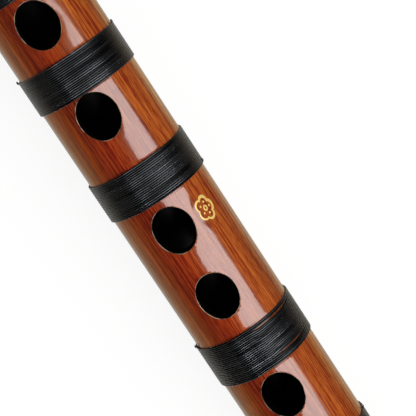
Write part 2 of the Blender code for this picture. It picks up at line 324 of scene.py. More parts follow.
room = bpy.data.worlds.new("room")
room.use_nodes = True
bpy.context.scene.world = room
tree = room.node_tree
tree.nodes.clear()
height = parted(tree, add_node(tree, "ShaderNodeTexCoord").outputs["Generated"])["Z"]
height = maths(tree, "ABSOLUTE", height)
horizon = ramp(tree, height, [(0.0, ROOM_LOW), (HORIZON_HEIGHT, ROOM_DARK)], True)
path, seen = ray_kinds(tree)
unseen = mix_colour(tree, path["Is Diffuse Ray"], horizon, (ROOM_FILL, ROOM_FILL, ROOM_FILL, 1))
background = mix_colour(tree, seen, unseen, (1, 1, 1, 1))
background = add_node(tree, "ShaderNodeBackground", {"Color": background})
add_node(tree, "ShaderNodeOutputWorld", {0: background.outputs[0]})
print("lamp", LAMP_WATTS, "W; room fill", ROOM_FILL)

# %% [markdown]
# Bamboo under lacquer shows three things at once: hair-fine fibres that run the whole length of an
# internode, wider bands where the fibres are denser, and a slow change of tone round the stem. The first
# two come from noise that is squeezed along the flute, so that each spot is drawn out into a streak. As
# both finishes of the bamboo, outside and in the bore, need them, they are one node group. Each kind of
# streak is written as its size across, how many times as long it is, the noise's detail and roughness,
# and a shift that keeps it from lying on the others.

# %% The fibres of the bamboo as a node group
HAIRS = (0.28 * MM, 50, 2.0, 0.55, 0.0)
STRANDS = (0.75 * MM, 60, 3.0, 0.6, 0.37)
SPECKS = (0.20 * MM, 9, 1.0, 0.5, 3.1)
HAIR_SHARE, STRAND_SHARE, SPECK_SHARE = 0.58, 0.16, 0.26
FIBRE_CONTRAST = 6.2
DASHES, DASHES_SHOW = (0.75 * MM, 38, 2.0, 0.5, 2.3), [(0.27, 1.0), (0.36, 0.0)]
BANDS, BANDS_SHOW = (3.6 * MM, 30, 2.0, 0.5, 0.71), [(0.36, 0.0), (0.64, 1.0)]


def add_sockets(group, takes, gives):
    for name, value in takes.items():
        socket = group.interface.new_socket(name, in_out="INPUT", socket_type="NodeSocketFloat")
        socket.default_value = value
    for name in gives:
        group.interface.new_socket(name, in_out="OUTPUT", socket_type="NodeSocketFloat")
    return group.nodes.new("NodeGroupInput").outputs, group.nodes.new("NodeGroupOutput").inputs


def streaks(tree, size, drawn_out, detail, rough, shift):
    """Noise whose spots are size across and drawn_out times as long, with the flute."""
    inputs = {"Vector": place_on_piece(tree), "Location": (shift,) * 3, "Scale": (1 / drawn_out, 1, 1)}
    squeezed = add_node(tree, "ShaderNodeMapping", inputs).outputs[0]
    inputs = {"Vector": squeezed, "Scale": 1 / size, "Detail": detail, "Roughness": rough}
    return add_node(tree, "ShaderNodeTexNoise", inputs).outputs["Fac"]


fibres = bpy.data.node_groups.new("bamboo_fibres", "ShaderNodeTree")
takes, gives = add_sockets(fibres, {"Contrast": 1.0}, ["Lines", "Dashes", "Bands"])
hairs = times(fibres, streaks(fibres, *HAIRS), HAIR_SHARE)
strands = times(fibres, streaks(fibres, *STRANDS), STRAND_SHARE)
specks = times(fibres, streaks(fibres, *SPECKS), SPECK_SHARE)
mixed = plus(fibres, plus(fibres, hairs, strands), specks)
swing = times(fibres, maths(fibres, "SUBTRACT", mixed, 0.5), takes["Contrast"])
lines = maths(fibres, "ADD", times(fibres, swing, FIBRE_CONTRAST), 0.5, True)
fibres.links.new(lines, gives["Lines"])
fibres.links.new(ramp(fibres, streaks(fibres, *DASHES), DASHES_SHOW), gives["Dashes"])
fibres.links.new(ramp(fibres, streaks(fibres, *BANDS), BANDS_SHOW, True), gives["Bands"])
print("group", fibres.name)

# %% [markdown]
# The lacquer is a second, very smooth layer over the wood, so the material uses the coat of the
# Principled shader for it and keeps the wood below a little rougher. The stain changes round the tube:
# deep red beside the holes, brighter under the band of light and brown towards both sides. Part of this is
# painted light: the sides are made lighter for the light they catch, and under the band of light the red
# is held lower than on either side of it, so that the band reads paler. The angle round the axis comes
# from Object coordinates with an arctangent, and ramps turn it into the stain and into how plainly the
# fibres show. The lacquer isn't even either: a slight ripple breaks up the band of light, a haze dims it
# in small spots, and it has sunk a little along some of the fibres.

# %% Lacquered bamboo
# These tones hold painted light: the sides are made lighter, and the red from 10 to 32 degrees is lower.
STAIN_AND_PAINTED_LIGHT = [
    (-180, (0.340, 0.095, 0.014)),
    (-110, (0.400, 0.135, 0.022)),
    (-66, (0.400, 0.140, 0.022)),
    (-46, (0.320, 0.082, 0.009)),
    (-34, (0.330, 0.060, 0.005)),
    (-22, (0.208, 0.018, 0.002)),
    (-10, (0.320, 0.026, 0.002)),
    (2, (0.360, 0.042, 0.004)),
    (10, (0.320, 0.045, 0.004)),
    (32, (0.310, 0.050, 0.004)),
    (37, (0.400, 0.067, 0.006)),
    (50, (0.385, 0.067, 0.007)),
    (60, (0.315, 0.051, 0.006)),
    (70, (0.275, 0.050, 0.007)),
    (84, (0.400, 0.130, 0.018)),
    (110, (0.410, 0.140, 0.022)),
    (180, (0.340, 0.095, 0.014)),
]
STAIN_WANDERS, WANDER_REACH = (6 * MM, 12, 2.0, 0.5, 1.3), 0.10
BROWN_TO_RED = [(-30, 0.0), (-14, 1.0)]
DARK_FIBRE = (0.60, 0.30, 0.22, 1)
PALE_FIBRE = (1.38, 1.95, 2.40, 1)
DARK_BROWN_FIBRE = (0.62, 0.62, 0.62, 1)
PALE_BROWN_FIBRE = (1.34, 1.30, 1.30, 1)
CALM_FIBRES = [(2, 1.0), (11, 0.55), (30, 0.55), (38, 1.0)]
DARK_BAND = (0.94, 0.88, 0.80, 1)
PALE_BAND = (1.06, 1.14, 1.20, 1)
BESIDE_HOLE_TINT = (0.42, 0.26, 0.24, 1)
BESIDE_HOLE_LIMIT = 1.25
DASH = (0.50, 0.35, 0.30, 1)
FIBRE_HEIGHT = 0.008 * MM
RIPPLE, RIPPLE_HEIGHT = (0.30 * MM, 1.6, 2.0, 0.6, 4.4), 0.006 * MM
HAZE_SHOWS = [(0.36, 0.80), (0.60, 0.94)]
SUNK, SUNK_SHOWS = (0.30 * MM, 24, 3.0, 0.6, 5.2), [(0.38, 0.78), (0.60, 1.0)]


def turn_round_tube(tree):
    """0 underneath on one side, 0.5 on the playing side, 1 underneath on the other."""
    place = parted(tree, place_on_piece(tree))
    turn = maths(tree, "ARCTAN2", place["Y"], maths(tree, "SUBTRACT", place["Z"], AXIS_HEIGHT))
    return plus(tree, maths(tree, "DIVIDE", turn, math.tau), 0.5)


def in_turns(stops):
    """Stops that are given in degrees from the playing side, as shares of a turn."""
    return [(0.5 + degrees / 360, colour) for degrees, colour in stops]


def lacquered_bamboo():
    made, tree = new_material("lacquered_bamboo")
    turn = turn_round_tube(tree)
    calm = ramp(tree, turn, in_turns(CALM_FIBRES))
    grain = add_node(tree, "ShaderNodeGroup", {"Contrast": calm}, node_tree=fibres).outputs
    wander = maths(tree, "SUBTRACT", streaks(tree, *STAIN_WANDERS), 0.5)
    turn = plus(tree, turn, times(tree, wander, WANDER_REACH))
    # Painted light is part of this ramp, along with the bamboo's own tone.
    stain_and_painted_light = ramp(tree, turn, in_turns(STAIN_AND_PAINTED_LIGHT))
    banding = mix_colour(tree, grain["Bands"], DARK_BAND, PALE_BAND)
    side = ramp(tree, turn, in_turns(BROWN_TO_RED))
    dark = mix_colour(tree, side, DARK_BROWN_FIBRE, DARK_FIBRE)
    pale = mix_colour(tree, side, PALE_BROWN_FIBRE, PALE_FIBRE)
    fibre = mix_colour(tree, grain["Lines"], dark, pale)
    dashed = mix_colour(tree, grain["Dashes"], fibre, DASH)
    wood = tinted(tree, tinted(tree, stain_and_painted_light, banding), dashed)
    # A darker, streaky patch beside one side of each hole comes from an attribute of the tube.
    uneven = maths(tree, "SUBTRACT", BESIDE_HOLE_LIMIT, grain["Lines"])
    uneven = maths(tree, "MULTIPLY", attribute(tree, "darker_beside_hole"), uneven, True)
    ripple = streaks(tree, *RIPPLE)
    haze = times(tree, ramp(tree, ripple, HAZE_SHOWS), ramp(tree, streaks(tree, *SUNK), SUNK_SHOWS))
    finish_principled(tree, {
        "Base Color": mix_colour(tree, uneven, wood, tinted(tree, wood, BESIDE_HOLE_TINT)),
        "Roughness": 0.2,
        "IOR": 1.5,
        "Normal": bumped(tree, grain["Lines"], FIBRE_HEIGHT, 0.15),
        "Coat Weight": haze,
        "Coat Normal": bumped(tree, ripple, RIPPLE_HEIGHT, 0.6),
        "Coat Roughness": 0.03,
        "Coat IOR": 1.6,
    })
    return made


BAMBOO = lacquered_bamboo()
print("stain stops", len(STAIN_AND_PAINTED_LIGHT))

# %% [markdown]
# Inside, the bore and the walls of the holes are sealed with black lacquer, so dark that the holes read as
# pure black from above. The very edge of each hole is painted pale in spots: a hair-thin painted highlight
# that stands in for the light the lip of the lacquer catches.

# %% Black lacquer of the bore
def black_lacquer():
    made, tree = new_material("bore_lacquer")
    grain = add_node(tree, "ShaderNodeGroup", node_tree=fibres).outputs
    colour = mix_colour(tree, grain["Lines"], (0.002, 0.0015, 0.0015, 1), (0.006, 0.004, 0.003, 1))
    finish_principled(tree, {"Base Color": colour, "Roughness": 0.4, "Specular IOR Level": 0.15})
    return made


def hole_edge():
    made, tree = new_material("hole_edge")
    # Painted highlight: the rim is pale in spots, where its lip would catch the light.
    painted_highlight_share = ramp(tree, spots(tree, 450.0, 3.0), [(0.44, 0.0), (0.58, 1.0)])
    colour = mix_colour(tree, painted_highlight_share, (0.09, 0.045, 0.022, 1), (0.42, 0.34, 0.24, 1))
    finish_principled(tree, {"Base Color": colour, "Roughness": 0.3, "Coat Weight": 0.5})
    return made


BORE_BLACK = black_lacquer()
HOLE_EDGE = hole_edge()
print("bore finish ready")

# %% [markdown]
# Each tube is turned like on a lathe. A circle gives a closed loop of points, the points are set out on
# the outline of the wall, and the spin operator carries that outline round the axis. The spin ends on its
# own start, so its doubles are merged, and then the normals are made to point outwards.

# %% Helper that turns a closed outline round the axis
SIDES = 144
MERGE = 0.002 * MM
LATHE_CREASE = 32
SOFT_CREASE = 60


def deselect():
    if bpy.context.mode != "OBJECT":
        bpy.ops.object.mode_set(mode="OBJECT")
    bpy.ops.object.select_all(action="DESELECT")


def pick(piece):
    """Selects one piece alone and makes it the active one."""
    deselect()
    piece.select_set(True)
    bpy.context.view_layer.objects.active = piece


def edit_all():
    bpy.ops.object.mode_set(mode="EDIT")
    bpy.ops.mesh.select_all(action="SELECT")


def face_outwards():
    edit_all()
    bpy.ops.mesh.normals_make_consistent(inside=False)
    bpy.ops.object.mode_set(mode="OBJECT")


def smooth(degrees):
    """Shades the active piece smooth, apart from edges sharper than this."""
    bpy.ops.object.shade_smooth_by_angle(angle=math.radians(degrees))


def named(name):
    """The piece that was just added, under its own name."""
    piece = bpy.context.active_object
    piece.name = piece.data.name = name
    return piece


def turned(name, outline, sides=SIDES, crease=LATHE_CREASE):
    """A closed outline of (x, radius) points, spun round the flute's axis."""
    deselect()
    bpy.ops.mesh.primitive_circle_add(vertices=len(outline), radius=FOOT_RADIUS)
    piece = named(name)
    for vertex, (x, radius) in zip(piece.data.vertices, outline):
        vertex.co = (x, 0, AXIS_HEIGHT + radius)
    edit_all()
    bpy.ops.mesh.spin(steps=sides, angle=math.tau, center=(0, 0, AXIS_HEIGHT), axis=(1, 0, 0))
    bpy.ops.mesh.select_all(action="SELECT")
    bpy.ops.mesh.remove_doubles(threshold=MERGE)
    face_outwards()
    smooth(crease)
    return piece


def evenly(start, end, step):
    """Places from start to end, both included, no more than step apart."""
    count = max(1, math.ceil(abs(end - start) / step))
    return [start + (end - start) * index / count for index in range(count + 1)]


print("turning with", SIDES, "sides")

# %% [markdown]
# A piece rides on a body of the frame and, apart from the blossom, stands for a node. Each is handed to
# this one helper when its shape is ready.

# %% Helper that fits a finished piece into the frame
def set_in_frame(piece, body, node=None):
    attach(piece, body)
    if node:
        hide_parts(node)
    print(piece.name, len(piece.data.polygons), "faces, rides on", body)


print("fitting helper ready")

# %% [markdown]
# The lacquer is brushed on after the bindings are wound, and it gathers against the thread in a tiny
# slope. The slope is less than half a millimetre wide, but it is what makes the band of light on the tube
# end in a thin dark line beside every binding. Three of the real bindings have one turn more towards the
# foot than the frame gives them, and one starts later, so the spans are corrected first.
# Round each finger hole the bamboo was sanded a little flatter, and its edge eased, which bends the light
# away from the hole. The lacquer's slope, the sanding and the hollow round the gilt mark are each a
# function of place.

# %% The worn and pooled surface of the tube
ON_HEAD = ["head_end", "head_middle", "stopper", "blow_hole", "membrane", "tenon"]
ON_FOOT = ["socket", "holes_6_5", "holes_5_4", "holes_4_3", "holes_2_1", "hole_1", "outlets", "foot_end"]
HEAD_BINDINGS = [f"binding_{place}" for place in ON_HEAD]
FOOT_BINDINGS = [f"binding_{place}" for place in ON_FOOT]
EXTRA_TURN = 0.42 * MM
LATE_START = 1.35 * MM
spans = {name: [corner.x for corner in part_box(name)] for name in HEAD_BINDINGS + FOOT_BINDINGS}
for name in ("binding_holes_5_4", "binding_holes_4_3", "binding_holes_2_1"):
    spans[name][1] += EXTRA_TURN
spans["binding_hole_1"][0] += LATE_START
POOL_HEIGHT = 0.035 * MM
POOL_LENGTH = 0.10 * MM
SANDED_DEPTH = 0.10 * MM
SANDED_LENGTH = 6.5 * MM
SANDED_WIDTH = math.radians(24)
SANDED_FADES = 3
EASED_DEPTH = 0.035 * MM
EASED_REACH = 0.55 * MM

MARK_X = finger_holes[3]
MARK_ANGLE = math.radians(43.5)
HOLLOW_LENGTH = 3.0 * MM
HOLLOW_WIDTH = 2.3 * MM
HOLLOW_EDGE = 1.5 * MM
HOLLOW_DEPTH = 0.10 * MM

FINGER_HOLE = (4.88 * MM, 4.05 * MM)
BLOW_HOLE = (5.3 * MM, 4.6 * MM)
MEMBRANE_HOLE = (4.3 * MM, 3.7 * MM)
OUTLET = (3.6 * MM, 3.6 * MM)
head_holes = [(hole_at("blow_hole"), *BLOW_HOLE, 1), (hole_at("membrane_hole"), *MEMBRANE_HOLE, 1)]
foot_holes = [(x, *FINGER_HOLE, 1) for x in finger_holes]
foot_holes += [(hole_at(f"rear_outlet_{number}"), *OUTLET, -1) for number in (1, 2)]
foot_holes += [(hole_at(f"front_outlet_{number}"), *OUTLET, 1) for number in (1, 2)]


def smooth_step(value):
    value = min(1.0, max(0.0, value))
    return value * value * (3 - 2 * value)


def pooled(x):
    """How far the lacquer climbs beside the nearest binding."""
    nearest = min(min(abs(x - near), abs(x - far)) for near, far in spans.values())
    return POOL_HEIGHT * math.exp(-nearest / POOL_LENGTH)


def beyond_edge(x, y, hole):
    """About how far a point of the surface lies outside a hole's edge."""
    at, half_length, half_width, side = hole
    reach = math.hypot((x - at) / half_length, y / half_width)
    return (reach - 1) * (half_length + half_width) / 2


def hollow(x, angle):
    """The shallow hollow that the graver left in the lacquer round the gilt mark."""
    across = (angle - MARK_ANGLE) * FOOT_RADIUS
    outside = math.hypot((x - MARK_X) / HOLLOW_LENGTH, across / HOLLOW_WIDTH) - 1
    return HOLLOW_DEPTH * (1 - smooth_step(outside * HOLLOW_WIDTH / HOLLOW_EDGE))


def worn(x, angle, holes):
    """How much wood is gone round the finger holes and the gilt mark."""
    gone = hollow(x, angle)
    for hole in holes:
        at, half_length, half_width, side = hole
        turn = angle if side > 0 else math.pi - abs(angle)
        if max(abs(x - at) / SANDED_LENGTH, abs(turn) / SANDED_WIDTH) > SANDED_FADES:
            continue
        sanded = math.exp(-(((x - at) / SANDED_LENGTH) ** 2) / 2 - ((turn / SANDED_WIDTH) ** 2) / 2)
        edge = max(0.0, beyond_edge(x, tube_radius(x) * math.sin(turn), hole)) / EASED_REACH
        gone = max(gone, (SANDED_DEPTH if side > 0 else 0) * sanded + EASED_DEPTH * math.exp(-(edge**2)))
    return gone


print("pooled beside", len(spans), "bindings; holes", len(head_holes) + len(foot_holes))

# %% [markdown]
# A hole is cut with a punch shaped like a trumpet. Its stem is the oval of the hole, and its mouth flares
# in a quarter circle that follows the curved surface of the tube, so the cut leaves a rounded rim in one
# go. The punch is a circle that is extruded ring by ring, and each ring is then laid on its own depth.
# The real drill tore the fibres a little, so the oval is ragged, with one small chip in every hole.

# %% Helpers that punch the holes
RIM = 0.13 * MM
PUNCH_SIDES = 96
STEM_END = 4 * MM
FLARE = [math.radians(turn) for turn in (30, 60)]
MOUTH_GROWTH = 1.25 * RIM
MOUTH_START = 0.18 * RIM
MOUTH_TOP = 2 * MM
RAGGED = 0.035 * MM
TEARS, FINE_TEARS, FINE_SHARE = 2.2, 8, 0.5
CHIP_DEPTH = 0.17 * MM
CHIP_USUAL = 0.55
CHIP_STRAY = 0.3
CHIP_TURN = math.radians(48)
CHIP_SPREAD = math.radians(13)
SPLINTERS = 21


def unlike(*place):
    """Smooth noise from -1 to 1, different at every place, which is given by three numbers."""
    return noise.noise(Vector(place))


def ragged_edge(turn, at):
    """How far the drill tore out of the oval at a turn round the hole. No two holes are alike."""
    seed = 1000 * at
    x, y = math.cos(turn), math.sin(turn)
    torn = RAGGED * unlike(TEARS * x, TEARS * y, seed)
    torn += FINE_SHARE * RAGGED * unlike(FINE_TEARS * x, FINE_TEARS * y, seed)
    chip = CHIP_DEPTH * (CHIP_USUAL + unlike(seed, 0.3, 0.7))
    away = (turn - CHIP_TURN - CHIP_STRAY * unlike(seed, 2.1, 0)) / CHIP_SPREAD
    return torn + chip * math.exp(-(away**2)) * (0.7 + 0.5 * math.sin(SPLINTERS * turn))


def punch(hole, holes):
    """A trumpet-shaped cutter for one hole.

    Each ring has its growth past the oval and its depth, with None at the end of the stem.
    """
    at, half_length, half_width, side = hole
    rings = [(0.0, None), (0.0, RIM)]
    rings += [(RIM * (1 - math.cos(turn)), RIM * (1 - math.sin(turn))) for turn in FLARE]
    rings += [(MOUTH_GROWTH, -MOUTH_START), (MOUTH_GROWTH, -MOUTH_TOP)]
    deselect()
    bpy.ops.mesh.primitive_circle_add(
        vertices=PUNCH_SIDES, radius=half_length, fill_type="NGON", location=(at, 0, 0)
    )
    cutter = bpy.context.active_object
    bpy.ops.object.transform_apply(location=True)
    bpy.ops.object.mode_set(mode="EDIT")
    for _ in rings[1:]:
        bpy.ops.mesh.extrude_region_move(TRANSFORM_OT_translate={"value": (0, 0, MM)})
    bpy.ops.object.mode_set(mode="OBJECT")
    for index, vertex in enumerate(cutter.data.vertices):
        growth, depth = rings[index // PUNCH_SIDES]
        turn = math.tau * (index % PUNCH_SIDES) / PUNCH_SIDES
        growth += ragged_edge(turn if turn < math.pi else turn - math.tau, at)
        x = at + (half_length + growth) * math.cos(turn)
        y = (half_width + growth) * math.sin(turn)
        angle = math.asin(y / tube_radius(x))
        reach = tube_radius(x) - worn(x, angle if side > 0 else math.pi - angle, holes)
        height = STEM_END if depth is None else math.sqrt(reach**2 - y**2) - depth
        vertex.co = (x, y, AXIS_HEIGHT + side * height)
    face_outwards()
    return cutter


def punch_holes(tube, holes):
    """Cuts every hole out of the tube, one clean boolean for each."""
    for hole in holes:
        cutter = punch(hole, holes)
        cut = tube.modifiers.new("hole", "BOOLEAN")
        cut.operation = "DIFFERENCE"
        cut.solver = "EXACT"
        cut.object = cutter
        pick(tube)
        bpy.ops.object.modifier_apply(modifier=cut.name)
        bpy.data.objects.remove(cutter)


print("punches have", PUNCH_SIDES, "sides")

# %% [markdown]
# Around each hole the surface needs more faces than elsewhere, so the faces there are chosen by their
# place and subdivided before the wood is worn away and the holes are punched. Afterwards the walls of the
# holes get their own finish, and the wood is marked for a darker patch beside one side of each hole.

# %% Helper that makes one bamboo section
SPACING = 1.5 * MM
BORE_SPACING = 8 * MM
CLOSEST = 0.05 * MM
NEAR_HOLE = 3.2 * MM
OUTER_FACES = 1 * MM
OUTER_POINTS = 0.6 * MM
EDGE_STEEPNESS = 0.93
EDGE_DEPTH = 0.75 * RIM
BESIDE_HOLE_REACH = 0.9 * MM
BESIDE_HOLE_TURN = math.radians(207)
BESIDE_HOLE_STRENGTH = 0.9
BESIDE_HOLE_FADES = 3
SECTION_CREASE = 34
POOL_STEPS = [0, 0.06 * MM, 0.12 * MM, 0.20 * MM, 0.32 * MM, 0.55 * MM, 0.9 * MM]


def side_stations(start, end):
    """Places along the outer side, close together beside the bindings."""
    places = set(evenly(start, end, SPACING))
    for near, far in spans.values():
        for edge, away in ((near, -1), (far, 1)):
            places.update(edge + away * step for step in POOL_STEPS)
    ordered = sorted(place for place in places if start <= place <= end)
    kept = [ordered[0]]
    for place in ordered[1:]:
        if place - kept[-1] > CLOSEST:
            kept.append(place)
    return kept


def from_axis(point):
    """The reach of a point from the axis and its angle round it."""
    y, z = point[1], point[2] - AXIS_HEIGHT
    return math.hypot(y, z), math.atan2(y, z)


def refine_round_holes(tube, holes):
    pick(tube)
    bpy.ops.object.mode_set(mode="EDIT")
    bpy.ops.mesh.select_mode(type="FACE")
    bpy.ops.mesh.select_all(action="DESELECT")
    bpy.ops.object.mode_set(mode="OBJECT")
    for polygon in tube.data.polygons:
        x, y, z = polygon.center
        reach, angle = from_axis(polygon.center)
        near = any(
            beyond_edge(x, y, hole) < NEAR_HOLE and (z - AXIS_HEIGHT) * hole[3] > 0 for hole in holes
        )
        polygon.select = reach > tube_radius(x) - OUTER_FACES and (near or hollow(x, angle) > 0)
    bpy.ops.object.mode_set(mode="EDIT")
    bpy.ops.mesh.subdivide(number_cuts=2, quadcorner="INNERVERT")
    bpy.ops.mesh.select_mode(type="VERT")
    bpy.ops.object.mode_set(mode="OBJECT")


def shape_surface(tube, holes, ridge):
    """Moves every point of the outer side to where lacquer, sanding and the node ridge put it."""
    for vertex in tube.data.vertices:
        x = vertex.co.x
        reach, angle = from_axis(vertex.co)
        if reach >= tube_radius(x) - OUTER_POINTS:
            wanted = tube_radius(x) + pooled(x) - worn(x, angle, holes) + ridge(x)
            vertex.co = round_axis(x, wanted, angle)


def paint_inside(tube, holes):
    """Gives the bore and the walls of the holes the black lacquer, and their edges the pale finish of a
    painted highlight.
    """
    for finish in (BAMBOO, BORE_BLACK, HOLE_EDGE):
        tube.data.materials.append(finish)
    for polygon in tube.data.polygons:
        x = polygon.center.x
        reach, angle = from_axis(polygon.center)
        outward = Vector((0, math.sin(angle), math.cos(angle)))
        if tube_radius(x) - worn(x, angle, holes) - reach > EDGE_DEPTH:
            polygon.material_index = 1
        elif polygon.normal.dot(outward) < EDGE_STEEPNESS:
            polygon.material_index = 2


def mark_darker_patches(tube, holes):
    """Marks a darker patch beside each hole on the playing side, on its side towards -X and -Y."""
    darker_beside_hole = tube.data.attributes.new("darker_beside_hole", "FLOAT", "POINT")
    for vertex in tube.data.vertices:
        x, y, z = vertex.co
        for hole in holes:
            at, half_length, half_width, side = hole
            if side < 0 or z < AXIS_HEIGHT or abs(x - at) > BESIDE_HOLE_FADES * half_length:
                continue
            edge = max(0.0, beyond_edge(x, y, hole)) / BESIDE_HOLE_REACH
            facing = max(0.0, math.cos(math.atan2(y, x - at) - BESIDE_HOLE_TURN)) ** 3
            darker_beside_hole.data[vertex.index].value = BESIDE_HOLE_STRENGTH * facing * math.exp(-edge)


def bamboo_section(name, outline, holes, ridge, body, node):
    tube = turned(name, outline)
    refine_round_holes(tube, holes)
    shape_surface(tube, holes, ridge)
    punch_holes(tube, holes)
    paint_inside(tube, holes)
    mark_darker_patches(tube, holes)
    pick(tube)
    smooth(SECTION_CREASE)
    set_in_frame(tube, body, node)


print("spacing", SPACING)

# %% [markdown]
# The foot section runs from the brass collar at the joint to the foot end ring. Its outline goes along
# the outer side, in over the turned-down end that the ring covers, back through the bore and out again
# over the counterbore for the brass liner.

# %% Turn and punch the foot section
RING_COVER = 1.1 * MM
RING_CLEARANCE = 0.15 * MM
SEAT_CLEARANCE = 0.3 * MM
LINER_SEAT = 8.9 * MM
foot_low, foot_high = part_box("foot_tube")
socket_low, socket_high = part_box("socket")
foot_ring_low, foot_ring_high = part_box("foot_end_ring")
shoulder = foot_ring_low.x - RING_CLEARANCE
covered = tube_radius(shoulder) - RING_COVER
liner_end = socket_high.x + SEAT_CLEARANCE
outline = [(x, tube_radius(x)) for x in side_stations(foot_low.x, shoulder)]
outline += [(shoulder, covered), (foot_high.x, covered)]
outline += [(x, BORE_RADIUS) for x in evenly(foot_high.x, liner_end, BORE_SPACING)]
outline += [(liner_end, LINER_SEAT), (foot_low.x, LINER_SEAT)]
bamboo_section("foot_bamboo", outline, foot_holes, lambda x: 0.0, "foot_section", "foot_tube")
print("foot section", round((foot_high.x - foot_low.x) / MM, 1), "mm")

# %% [markdown]
# The head section is made in the same way. The only node of the stem that was left on the flute lies
# between its end and the blow hole: a low swelling with a fine groove on its head side, where the sheath
# of the leaf once grew.

# %% Turn and punch the head section
NODE_AT = hole_at("blow_hole") - 62 * MM
NODE_HEIGHT = 0.24 * MM
NODE_SPREAD = 1.5 * MM
NODE_HALF = 4 * MM
NODE_SPACING = 0.25 * MM
SCAR_AT = NODE_AT - 1.9 * MM
SCAR_DEPTH = 0.12 * MM
SCAR_WIDTH = 0.35 * MM
TENON_SEAT = 8.4 * MM
head_low, head_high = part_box("head_tube")
head_ring_low, head_ring_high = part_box("head_end_ring")
tenon_low, tenon_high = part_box("tenon")


def node_ridge(x):
    swelling = NODE_HEIGHT * math.exp(-(((x - NODE_AT) / NODE_SPREAD) ** 2))
    scar = SCAR_DEPTH * math.exp(-(((x - SCAR_AT) / SCAR_WIDTH) ** 2))
    return swelling - scar


shoulder = head_ring_high.x + RING_CLEARANCE
covered = tube_radius(shoulder) - RING_COVER
tenon_end = tenon_low.x - SEAT_CLEARANCE
stations = set(side_stations(shoulder, head_high.x))
stations.update(evenly(NODE_AT - NODE_HALF, NODE_AT + NODE_HALF, NODE_SPACING))
outline = [(x, tube_radius(x)) for x in sorted(stations)]
outline += [(head_high.x, TENON_SEAT), (tenon_end, TENON_SEAT)]
outline += [(x, BORE_RADIUS) for x in evenly(tenon_end, head_low.x, BORE_SPACING)]
outline += [(head_low.x, covered), (shoulder, covered)]
bamboo_section("head_bamboo", outline, head_holes, node_ridge, "head_section", "head_tube")
print("node at", round(NODE_AT, 4))

# %% [markdown]
# Fine polyester thread shines along the crown of each turn, and the furrows between the turns stay black.
# Every winding carries an attribute, crown, that is 1 on top of the thread and 0 in the furrows, and the
# material reads the colour and the shine from it: the furrows are painted pure black as painted shade, and
# the crown gets a lighter colour and more shine as a painted highlight. Anisotropy draws the shine out
# along the thread. Where a turn is seen at a grazing angle it shines much more, as at the sides of the
# flute. A second attribute, top, keeps that to the upper part of each turn, so that the furrows stay black
# there too, again as painted shade.

# %% Black thread
CROWN_SHINE = 1.25
GRAZED_SHINE = 2.6
GRAZED_FROM = [(0.32, 0.0), (0.70, 1.0)]
THREAD_TINT = (0.88, 0.95, 1.0, 1)


def black_thread():
    made, tree = new_material("black_thread")
    uneven = spots(tree, 900.0, 2.0)
    crown = attribute(tree, "crown")
    fuzz = mix_colour(tree, uneven, (0.010, 0.010, 0.012, 1), (0.030, 0.030, 0.034, 1))
    facing = add_node(tree, "ShaderNodeLayerWeight").outputs["Facing"]
    grazed = times(tree, ramp(tree, facing, GRAZED_FROM), attribute(tree, "top"))
    grazed = times(tree, grazed, GRAZED_SHINE)
    # The furrows are painted pure black and the crown lighter: painted shade and painted highlight.
    finish_principled(tree, {
        "Base Color": mix_colour(tree, crown, (0.0, 0.0, 0.0, 1), fuzz),
        "Roughness": plus(tree, times(tree, uneven, 0.14), 0.18),
        "IOR": 1.9,
        "Specular IOR Level": maths(tree, "MAXIMUM", times(tree, crown, CROWN_SHINE), grazed),
        "Specular Tint": THREAD_TINT,
        "Sheen Weight": 1.0,
        "Sheen Roughness": 0.19,
        "Sheen Tint": THREAD_TINT,
        "Anisotropic": 0.85,
        "Tangent": add_node(tree, "ShaderNodeTangent", direction_type="RADIAL", axis="X").outputs[0],
    })
    return made


THREAD_BLACK = black_thread()
print("thread ready")

# %% [markdown]
# A binding is one thread, 0.41 mm thick, wound about twenty times with its turns side by side. The cross
# section is a small circle, a little flatter outside, and the Screw modifier carries it round as one
# unbroken helix. Hand winding is never even, so each point is then nudged along the flute by a slow wave
# that depends on how far it lies along the thread. The points of the helix lie in order, so a point's
# number says which turn it belongs to, and one binding has two turns that stand off and show the bamboo.
# The tail of the thread runs along under the turns, which bulge over it, and on some bindings a small cut
# end sticks out in a curl.

# %% Wind the bindings
THREAD = 0.41 * MM
THREAD_CROWN = 0.20 * MM
THREAD_SIDES = 12
TURN_POINTS = 72
SQUEEZED = 1.06
PROUD = 0.45 * MM
WAVER = 0.016 * MM
WAVES = [(0.6, 0.83, 1.7), (0.3, 1.31, 3.1), (0.25, 2.17, 0.7)]
STEADY_ENDS = 8
CROWN_FROM, TOP_FROM = 0.86, 0.45
USUAL_CROWN, LEAST_CROWN, OUTER_CROWN = 0.8, 0.15, 0.3
TURN_CONTRAST, UNLIKE_ALONG, UNLIKE_ROUND = 1.5, 1.7, 0.5
# A band round the flute beside the tail where the crown is raised: a painted highlight.
PAINTED_GLINT, PAINTED_GLINT_AT, PAINTED_GLINT_SPREAD = 1.9, -12, 7
GAPS = {
    "binding_holes_2_1": [(2, 0.30 * MM, 4, 78), (19, 0.26 * MM, 12, 72)],
}
GAP_OPENS, GAP_CLOSES = 14, 20
TAIL_ANGLE = math.radians(-14)
TAIL_REACH = math.radians(19)
TAIL_HALF_WIDTH = math.radians(1.4)
TAIL_SOFTNESS = math.radians(0.6)
LOOSE_ENDS = {
    "binding_holes_5_4": [(0.02, 84), (0.06, -80)],
    "binding_holes_4_3": [(0.93, 86)],
    "binding_holes_2_1": [(0.02, -74)],
    "binding_hole_1": [(0.02, 86)],
}
END_SIDES = 8
END_STEPS = 4
END_CURL = 0.7 * THREAD
END_BEND = math.radians(150)
END_CROWN = 0.4


def wavering(travel, seed):
    """A slow, uneven nudge that depends on how far along the thread a point lies."""
    return WAVER * sum(size * math.sin(travel * pace + seed * shift) for size, pace, shift in WAVES)


